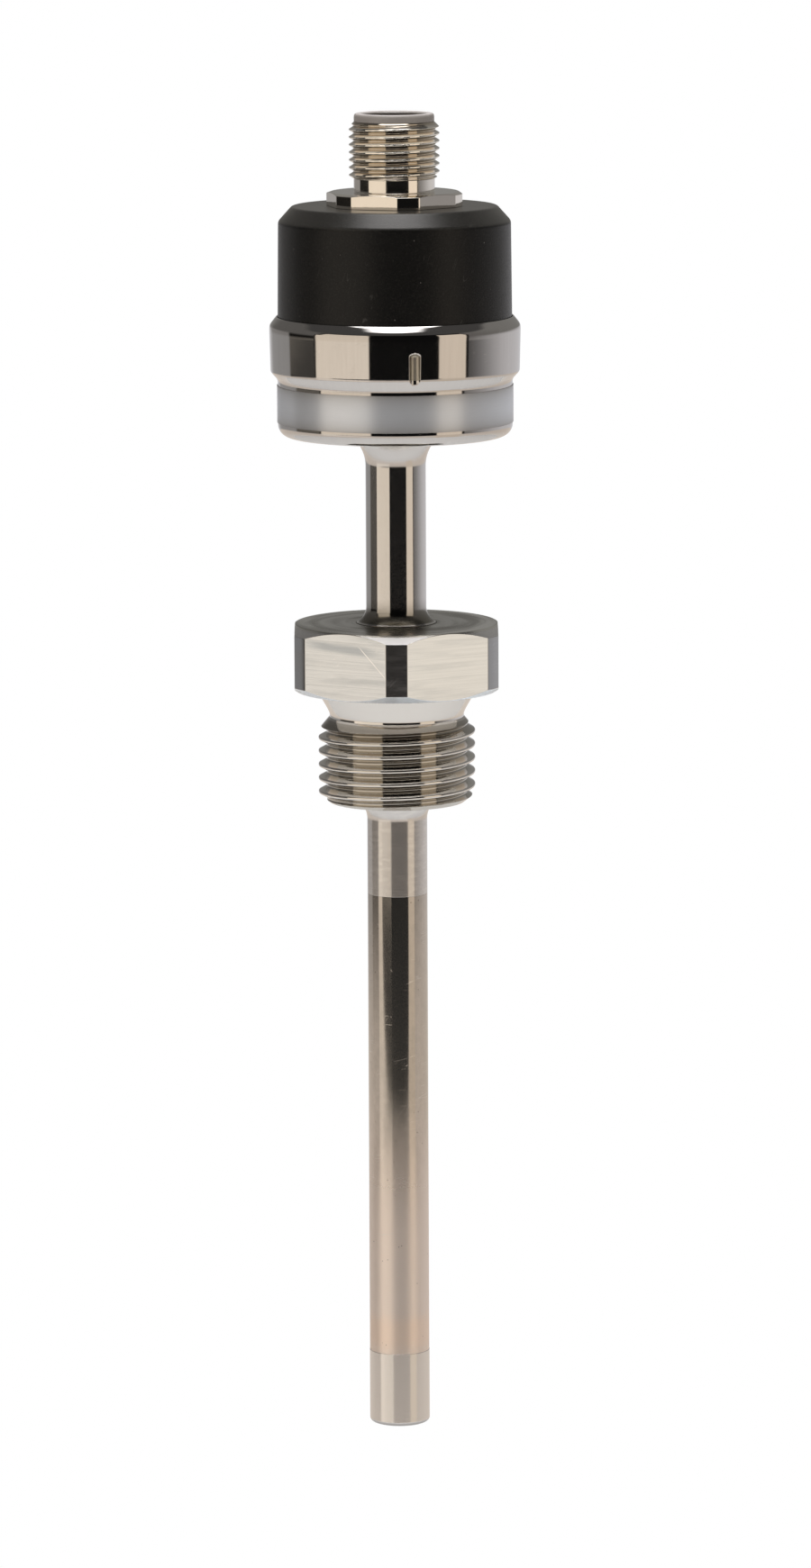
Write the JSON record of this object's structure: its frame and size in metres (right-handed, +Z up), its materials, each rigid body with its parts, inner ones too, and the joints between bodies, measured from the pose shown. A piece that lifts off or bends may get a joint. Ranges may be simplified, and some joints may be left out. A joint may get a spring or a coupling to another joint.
{
  "type": "rtd probe with connection head",
  "caption": "Screw-in temperature probe: straight steel stem, hexagon fitting with a parallel pipe thread, slim neck, and a round crimped head with a plug connector on top.",
  "frame": {"origin": "on the probe's axis, in the sealing face under the fitting's hexagon", "axes": "+Z up the axis towards the plug connector; -Y towards the side with one corner of the hexagon; the stem's tip points along -Z"},
  "size_m": [0.0332, 0.0332, 0.1767],
  "materials": {
    "stainless_turned": "turned stainless steel with fine circumferential marks",
    "stainless_drawn": "drawn stainless tube with a faint brown heat tint",
    "stainless_polished": "bright rolled and crimped stainless sheet",
    "nickel_brass": "nickel-plated brass, mirror bright",
    "gold_contact": "gold flash over brass",
    "black_polyamide": "fine-grained black glass-filled polyamide",
    "grey_polyamide": "satin grey moulded plastic",
    "label_foil": "satin silver foil, bare",
    "seal_rubber": "black nitrile rubber",
    "board_laminate": "green solder resist on glass laminate",
    "chip_body": "black moulded package",
    "component_body": "tan ceramic chip components",
    "natural_plastic": "natural moulded plastic",
    "silicone": "red-brown silicone",
    "glass_sleeve": "varnished glass-fibre braid",
    "lead_red": "red fluoropolymer insulation",
    "lead_white": "white fluoropolymer insulation",
    "platinum_wire": "bare drawn wire",
    "ceramic": "white alumina ceramic",
    "polyimide": "amber polyimide",
    "compound": "white heat-conducting compound"
  },
  "bodies": {
    "root": {"process_fitting": "stainless_turned", "protection_tube": "stainless_drawn", "tip_plug": "stainless_turned", "neck_tube": "stainless_turned", "housing": "stainless_polished", "label": "label_foil", "head_cap": "black_polyamide", "cap_seal": "seal_rubber", "connector_shell": "nickel_brass", "connector_seal": "seal_rubber", "connector_locknut": "nickel_brass", "contact_carrier": "grey_polyamide", "contact_pins": "gold_contact", "circuit_board": "board_laminate", "transmitter_chip": "chip_body", "board_components": "component_body", "board_carrier": "natural_plastic", "lead_bush": "silicone", "lead_sleeve": "glass_sleeve", "leads_red": "lead_red", "leads_white": "lead_white", "element_wires": "platinum_wire", "sensing_element": "ceramic", "element_cup": "polyimide", "thermal_compound": "compound"}
  },
  "joints": []
}
